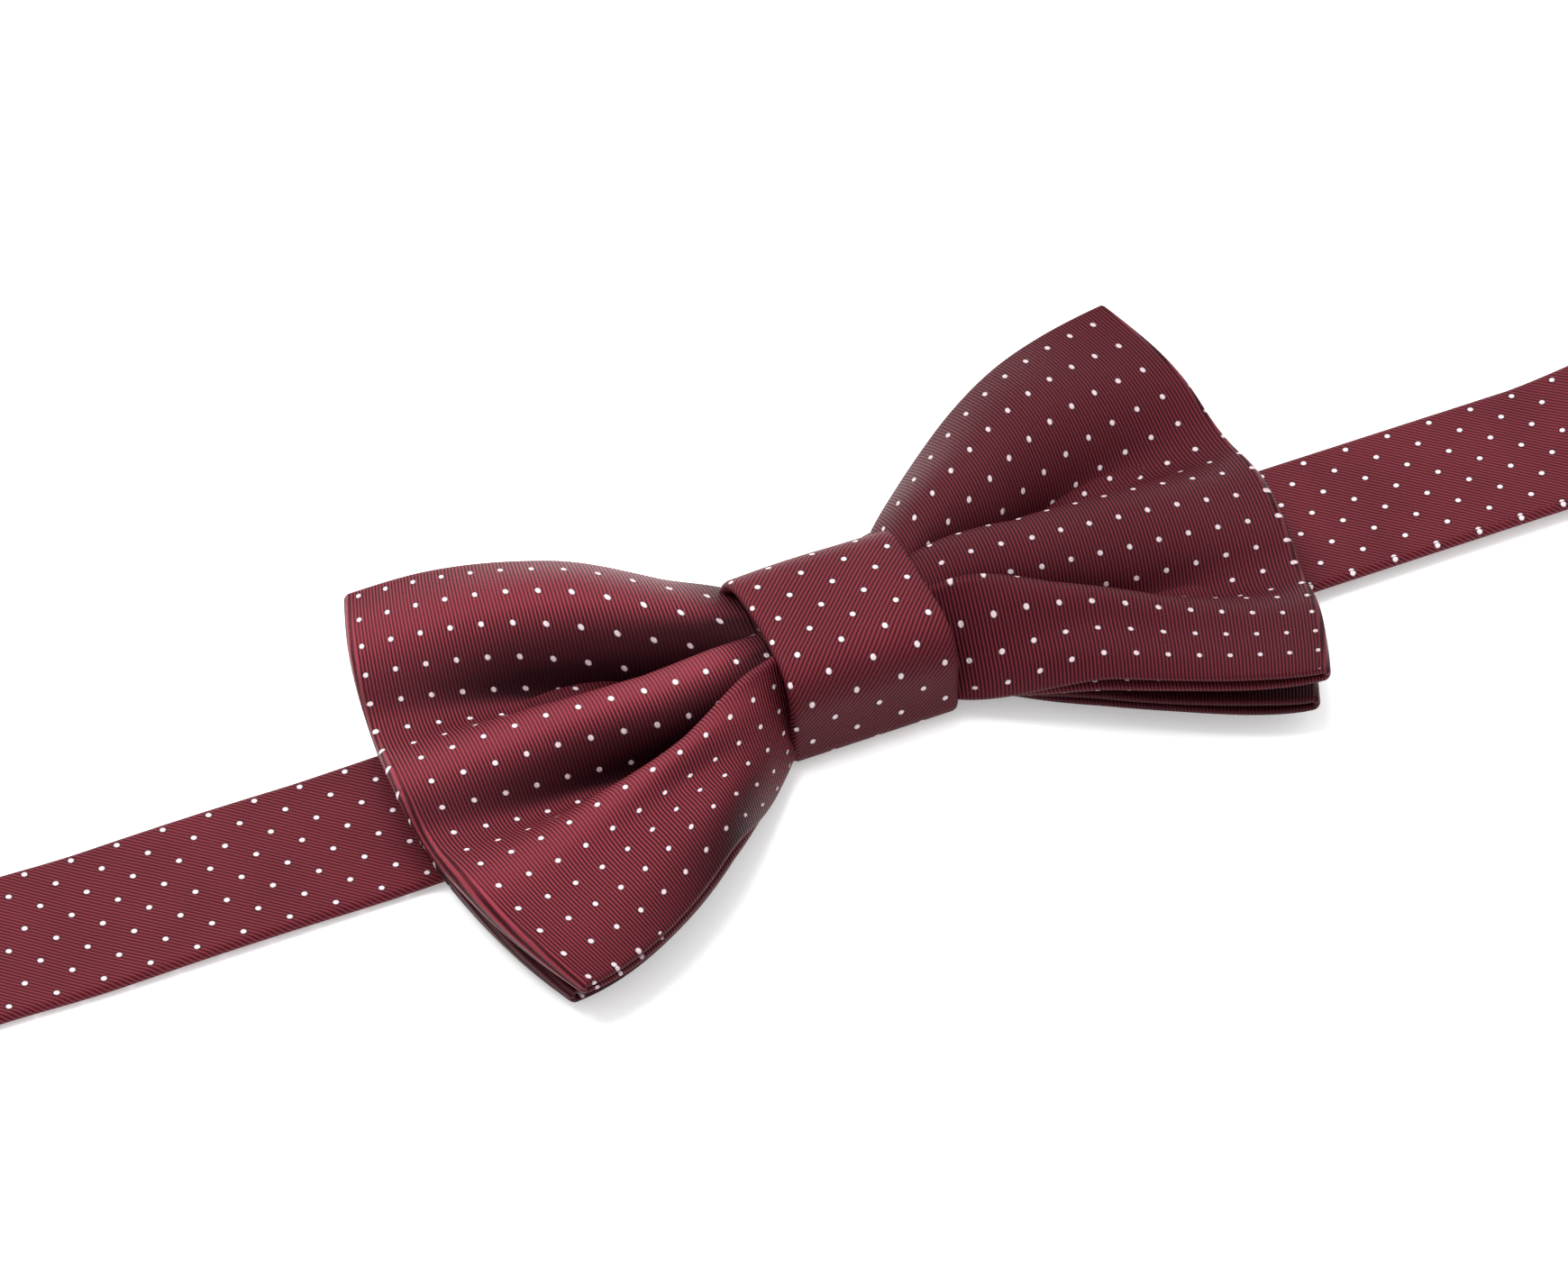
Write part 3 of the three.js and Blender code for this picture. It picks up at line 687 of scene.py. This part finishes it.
def knotTube(inset, width, thickness):
    path = knotPath(inset)
    lengths = np.concatenate([[0], np.cumsum(np.linalg.norm(np.diff(path, axis=0), axis=1))])
    even = np.linspace(0, lengths[-1], 120)
    y = np.interp(even, lengths, path[:, 0])
    z = np.interp(even, lengths, path[:, 1])
    across = np.linspace(-1, 1, 30)
    mid = np.zeros((len(even), len(across), 3))
    raised = smooth(z, 1.0, knot["high"])
    pinch = 1 - 0.035 * raised * np.cos(y / knot["deep"] * math.pi / 2)
    mid[..., 0] = across[None, :] * width / 2 * pinch[:, None]
    swell = 0.35 * (1 - across ** 2)
    mid[..., 1] = y[:, None] * (1 + 0.012 * swell[None, :] * raised[:, None])
    mid[..., 2] = z[:, None] + swell[None, :] * raised[:, None]
    mid[..., 2] += ripple(mid, 0.09, 5.0) * 0.35 * raised[:, None]
    uv = np.stack(np.broadcast_arrays(across[None, :] * width / 2, -even[:, None]), -1) / dotPitch
    uv = np.stack([uv[..., 1], uv[..., 0]], -1)
    ring, mapped = thicken(mid, uv, thickness)
    # painted shade on the band's front face, which faces away from the lamp
    side = smooth(np.abs(ring[..., 1]), knot["deep"] - 3.5, knot["deep"]) * (ring[..., 1] < 0)
    return ring, turned(mapped, knot["weave"], (0.2, 0.1)), side * 0.45


def makeKnot():
    half = knot["thickness"] / 2
    band = tubesObject("knotBand", [knotTube(half, knot["width"], knot["thickness"])], bandSilk)
    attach(band, "bow")
    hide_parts("knot_band_silk")
    inset = knot["thickness"] + 0.35
    narrow = knot["width"] - knot["liningInset"]
    tube = knotTube(inset, narrow, knot["liningThickness"])
    lining = tubesObject("knotInterlining", [tube], canvas)
    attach(lining, "bow")
    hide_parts("knot_band_interlining")
    print("knot made")


# the neckband, in mm; most of its places come from the frame
band = {
    "width": 22.0,
    "inKnot": 16.4,
    "thickness": 1.5,
    "turnThickness": 1.15,
    "liningThickness": 0.35,
    "liningInset": 2.4,  # how much narrower the interlining is
    "runWidth": 21.6,  # the slider side is pulled a little narrower
    "hookBarHigh": 2.6,
    "sag": 0.5,
    "hookSway": -0.5,  # how far each side lies off the middle line
    "runSway": -0.9,
    "weave": -45.0,
}

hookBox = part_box("neckband_hook_side")
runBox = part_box("neckband_slider_side")
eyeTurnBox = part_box("neckband_eye_turn")
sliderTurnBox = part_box("neckband_slider_turn")
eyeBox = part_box("eye_ring")
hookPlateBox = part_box("hook")
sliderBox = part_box("slider")


# resamples a path in X and Z
def evenly(points, step):
    points = np.array(points, float)
    lengths = np.concatenate([[0], np.cumsum(np.linalg.norm(np.diff(points, axis=0), axis=1))])
    count = max(8, int(lengths[-1] / step))
    even = np.linspace(0, lengths[-1], count)
    return np.stack([np.interp(even, lengths, points[:, k]) for k in (0, 1)], 1), even


# A length of neckband along a path in X and Z. It is narrower inside the knot.
def bandTube(points, thickness, width=None, startAt=0.0, sag=0.0, sway=0.0, shift=(0.0, 0.0), step=1.4):
    width = width or band["width"]
    path, lengths = evenly(points, step)
    across = np.linspace(-0.5, 0.5, 24)
    ease = smooth(np.abs(path[:, 0]), 11.5, 30.0)
    wide = width * (band["inKnot"] / band["width"] * (1 - ease) + ease)
    mid = np.zeros((len(path), len(across), 3))
    mid[..., 0] = path[:, 0:1]
    mid[..., 1] = across[None, :] * (wide[:, None] - thickness)
    mid[..., 2] = path[:, 1:2]
    away = np.abs(path[:, 0:1])
    mid[..., 1] += sway * smooth(away, 14, 50) * (1 - smooth(away, 98, 116))
    if sag:
        mid[..., 2] += sag * np.abs(ripple(mid * np.array([1, 0.4, 0]), 0.03, 2.0))
    uv = np.stack(np.broadcast_arrays(lengths[:, None] + startAt, across[None, :] * width), -1) / dotPitch
    ring, mapped = thicken(mid, uv, thickness)
    return ring, turned(mapped, band["weave"], shift), 0.0


# half a turn round a bar, from below to above
def halfTurn(x, z, radius, outward):
    angles = np.linspace(-math.pi / 2, math.pi / 2, 13)
    return [(x + outward * radius * math.cos(t), z + radius * math.sin(t)) for t in angles]


def bandPiece(name, tubes, node, body):
    piece = tubesObject(name, tubes, bandSilk)
    if body:
        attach(piece, body)
    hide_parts(node)
    return piece


def makeNeckband():
    thick = band["thickness"]
    liningThick = band["liningThickness"]
    liningWide = (band["width"] - band["liningInset"]) * mm
    bandMid = (runBox[0][2] + runBox[1][2]) / 2 / mm

    # hook side, folded over the hook's bar and back
    hookAt = hookPlateBox[1][0] / mm - 0.5
    foldTop = hookBox[1][2] / mm
    sag, sway = band["sag"], band["hookSway"]
    radius = foldTop / 2 - thick / 2
    low = thick / 2 + 0.05
    lap = 1.5 * thick + 0.35
    wayOut = [(-1.5, bandMid), (-11.5, bandMid), (-16, bandMid - 0.4), (-22, low + 0.5), (-30, low)]
    line = wayOut + [(hookAt + 14, low)] + halfTurn(hookAt, band["hookBarHigh"], radius, -1)
    line += [(hookAt + 7, lap + 0.7), (hookAt + 10, lap), (hookAt + 16, lap)]
    tube = bandTube(line, thick, sag=sag, sway=sway, shift=(0.0, 0.35))
    bandPiece("neckbandHookSide", [tube], "neckband_hook_side", "bow")
    inner = bandTube(wayOut + [(hookAt + 20, low)], liningThick, width=liningWide / mm, sag=sag, sway=sway)
    lining = tubesObject("hookSideInterlining", [inner], canvas)
    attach(lining, "bow")
    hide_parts("neckband_hook_side_interlining")

    # slider side, out to the eye
    runEnd = runBox[1][0] / mm
    sway = band["runSway"]
    rest = bandMid - 0.75
    runLine = [(1.5, bandMid), (13, bandMid), (20, bandMid - 0.3), (30, rest), (98, rest)]
    runLine += [(108, bandMid - 0.2), (116, bandMid)]
    line = runLine + [(runEnd, bandMid)]
    tube = bandTube(line, thick, width=band["runWidth"], sway=sway, shift=(0.55, 0.1))
    node = "neckband_slider_side"
    run = bandPiece("neckbandSliderSide", [tube], node, None)
    inner = bandTube(runLine + [(runEnd - 4, bandMid)], liningThick, width=liningWide / mm, sway=sway)
    runLining = tubesObject("sliderSideInterlining", [inner], canvas)
    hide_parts("neckband_slider_side_interlining")
    for piece in (run, runLining):
        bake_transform(piece)

    # the turn round the eye's bar
    thin = band["turnThickness"]
    eyeHigh = (eyeBox[0][2] + eyeBox[1][2]) / 2 / mm
    eyeAt = eyeBox[0][0] / mm + 0.5
    turnTop = eyeTurnBox[1][2] / mm - thin / 2
    turnRadius = turnTop - eyeHigh
    line = [(runEnd, bandMid)] + halfTurn(eyeAt, eyeHigh, turnRadius, 1) + [(runEnd, turnTop)]
    tube = bandTube(line, thin, startAt=runEnd, shift=(0.55, 0.1), step=0.5)
    bandPiece("neckbandEyeTurn", [tube], "neckband_eye_turn", "eye_end")

    # back to the slider, and the turn round its middle bar
    outer = sliderTurnBox[1][0] / mm
    lowLine = sliderTurnBox[0][2] / mm + thin / 2
    sliderAt = (sliderBox[0][0] + sliderBox[1][0]) / 2 / mm
    barAt = lowLine + turnRadius
    foldTop = lowLine + thin + 0.3
    tube = bandTube([(runEnd, turnTop), (outer, lowLine)], thin, shift=(0.35, 0.6))
    back = bandPiece("neckbandReturnRun", [tube], "neckband_return_run", None)
    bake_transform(back)
    line = [(outer, lowLine)] + halfTurn(sliderAt, barAt, turnRadius, -1)
    line += [(sliderAt + 4, foldTop + 1.1), (sliderAt + 7, foldTop + 0.2), (outer - 1, foldTop)]
    tube = bandTube(line, thin, shift=(0.15, 0.4), step=0.5)
    bandPiece("neckbandSliderTurn", [tube], "neckband_slider_turn", "slider")
    print("neckband made")


# sewing, in mm
stitch = {
    "tackCount": 38,
    "tackLength": 3.0,
    "tackRadius": 0.16,
    "ladderCount": 15,
    "ladderHalf": 0.55,  # how far it reaches to each side of the seam
    "ladderRadius": 0.17,
    "windingTurns": 5,
    "windingRadius": 0.32,
}


def threadTube(points, radius, sides):
    path = np.array(points, float)
    along = unit(np.gradient(path, axis=0))
    side = unit(np.cross(along, np.array([0.13, 0.21, 0.97])))
    over = np.cross(along, side)
    angles = np.linspace(0, 2 * math.pi, sides, endpoint=False)
    ring = np.stack([path + (side * math.cos(t) + over * math.sin(t)) * radius for t in angles], 1)
    lengths = np.concatenate([[0], np.cumsum(np.linalg.norm(np.diff(path, axis=0), axis=1))])
    around = np.linspace(0, 1, sides + 1)
    uv = np.stack(np.broadcast_arrays(lengths[:, None], around[None, :]), -1) / dotPitch
    return ring, uv, 0.0


def threadPiece(name, tubes, node, body):
    piece = tubesObject(name, tubes, thread)
    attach(piece, body)
    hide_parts(node)
    return piece


# Close stitches side by side over a line across the band.
def tackStitches(node):
    low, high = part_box(node)
    x = (low[0] + high[0]) / 2 / mm
    z = high[2] / mm - 0.62
    half = high[1] / mm
    tubes = []
    count = stitch["tackCount"]
    for k in range(count):
        y = -half + 2 * half * k / (count - 1)
        wobble = 0.12 * math.sin(k * 2.3)
        points = []
        for t in np.linspace(-math.pi / 2 + 0.01, math.pi / 2 - 0.01, 9):
            height = z + 0.34 * math.cos(t) ** 0.5 - 0.1
            points.append((x + stitch["tackLength"] / 2 * math.sin(t), y + wobble * math.sin(t), height))
        tubes.append(threadTube(points, stitch["tackRadius"], 6))
    return tubes


def makeThreads():
    threadPiece("hookEndStitches", tackStitches("hook_end_bar_tack"), "hook_end_bar_tack", "bow")
    threadPiece("sliderEndStitches", tackStitches("slider_end_bar_tack"), "slider_end_bar_tack", "slider")
    # ladder of stitches across the seam on the knot's back
    points = []
    count = stitch["ladderCount"]
    for k in range(count * 2 + 1):
        side = stitch["ladderHalf"] if k % 2 else -stitch["ladderHalf"]
        x = -knot["width"] / 2 + 1.6 + (knot["width"] - 3.2) * k / (count * 2)
        points.append((x, knot["seam"] + side, 0.28 + 0.1 * math.cos(k)))
    ladder = threadTube(points, stitch["ladderRadius"], 6)
    threadPiece("knotBackStitches", [ladder], "knot_back_stitching", "bow")
    # the winding that gathers the waists of both loops
    low, high = (np.array(corner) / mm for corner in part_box("gather_thread"))
    turns, steps = stitch["windingTurns"], 40
    points = []
    for k in range(turns * steps + 1):
        t = 2 * math.pi * k / steps
        cy, cz = math.cos(t), math.sin(t)
        grow = 1 / max((abs(cy) ** 5 + abs(cz) ** 5) ** 0.2, 1e-6)
        y = cy * grow * (high[1] - 0.4)
        z = (low[2] + high[2]) / 2 + cz * grow * ((high[2] - low[2]) / 2 - 0.4)
        points.append((low[0] + 0.4 + (high[0] - low[0] - 0.8) * k / (turns * steps), y, z))
    winding = threadTube(points, stitch["windingRadius"], 8)
    threadPiece("gatherWinding", [winding], "gather_thread", "bow")
    print("threads made")


fitting = {
    "weld": 0.01,  # mm
    "flat": 2,  # degrees between faces that count as one
    "segments": 3,
    "sharp": 35,  # degrees
    "smooth": 40,
}


def pickOnly(piece):
    bpy.ops.object.select_all(action="DESELECT")
    piece.select_set(True)
    bpy.context.view_layer.objects.active = piece


# A fitting takes the frame's own shape, cleaned up and with its edges rounded.
def makeFitting(node, name, body, rounding):
    source = bpy.data.objects[node]
    piece = source.copy()
    piece.data = source.data.copy()
    piece.name = name
    piece.data.materials.clear()
    piece.data.materials.append(nickel)
    for key in list(piece.keys()):
        del piece[key]
    bpy.context.collection.objects.link(piece)
    pickOnly(piece)
    bpy.ops.object.mode_set(mode="EDIT")
    bpy.ops.mesh.select_all(action="SELECT")
    bpy.ops.mesh.remove_doubles(threshold=fitting["weld"] * mm)
    bpy.ops.mesh.dissolve_limited(angle_limit=math.radians(fitting["flat"]))
    bpy.ops.object.mode_set(mode="OBJECT")
    bevel = piece.modifiers.new("rounding", "BEVEL")
    bevel.width = rounding
    bevel.segments = fitting["segments"]
    bevel.limit_method = "ANGLE"
    bevel.angle_limit = math.radians(fitting["sharp"])
    bpy.ops.object.modifier_apply(modifier="rounding")
    bpy.ops.object.shade_smooth_by_angle(angle=math.radians(fitting["smooth"]))
    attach(piece, body)
    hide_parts(node)
    return piece


makeBow("front")
makeBow("back")
makeKnot()
makeNeckband()
makeThreads()
makeFitting("hook", "bandHook", "hook", 0.28 * mm)
makeFitting("slider", "bandSlider", "slider", 0.25 * mm)
makeFitting("eye_ring", "eyeRing", "eye", 0.28 * mm)
print("fittings made")


# degrees, metres and mm of lens
view = {
    "azimuth": -24.0,
    "elevation": 46.5,
    "distance": 0.966,
    "aim": (-0.0034, 0.00875, 0.0),
    "lens": 178.4,
}


# metres and watts
studio = {
    "floorSize": 6,
    "floorHeight": -0.0003,
    "floorShade": 0.93,
    "floorGlow": 0.28,  # keeps the shadows pale
    "skylight": 1.0,
    "lampPlace": (-0.22, 0.34, 0.98),
    "lampSize": 0.90,
    "lampPower": 17,
}


def makeFloor():
    bpy.ops.mesh.primitive_plane_add(size=studio["floorSize"], location=(0, 0, studio["floorHeight"]))
    floor = bpy.context.object
    floor.name = "floor"
    finish = Finish("paleFloor", Roughness=0.9)
    shade = studio["floorShade"]
    finish.shader.inputs["Base Color"].default_value = (shade, shade, shade, 1)
    finish.shader.inputs["Emission Color"].default_value = (1, 1, 1, 1)
    finish.shader.inputs["Emission Strength"].default_value = studio["floorGlow"]
    floor.data.materials.append(finish.material)


def softLight(name, place, size, power):
    lamp = bpy.data.lights.new(name, "AREA")
    lamp.shape = "DISK"
    lamp.size = size
    lamp.energy = power
    holder = bpy.data.objects.new(name, lamp)
    holder.location = place
    holder.rotation_euler = (-Vector(place)).to_track_quat("-Z", "Y").to_euler()
    bpy.context.collection.objects.link(holder)


def makeLights():
    world = bpy.data.worlds.new("studio")
    world.use_nodes = True
    world.node_tree.nodes["Background"].inputs["Color"].default_value = (1, 1, 1, 1)
    world.node_tree.nodes["Background"].inputs["Strength"].default_value = studio["skylight"]
    bpy.context.scene.world = world
    softLight("overhead", studio["lampPlace"], studio["lampSize"], studio["lampPower"])


def makeCamera():
    turn, rise = math.radians(view["azimuth"]), math.radians(view["elevation"])
    back = Vector((math.sin(turn) * math.cos(rise), -math.cos(turn) * math.cos(rise), math.sin(rise)))
    camera = bpy.data.objects.new("camera", bpy.data.cameras.new("camera"))
    camera.location = Vector(view["aim"]) + back * view["distance"]
    camera.rotation_euler = back.to_track_quat("Z", "Y").to_euler()
    camera.data.lens = view["lens"]
    camera.data.sensor_width = 36
    camera.data.clip_start = 0.01
    bpy.context.collection.objects.link(camera)
    bpy.context.scene.camera = camera


makeFloor()
makeLights()
makeCamera()
bpy.context.scene.view_settings.view_transform = "Standard"
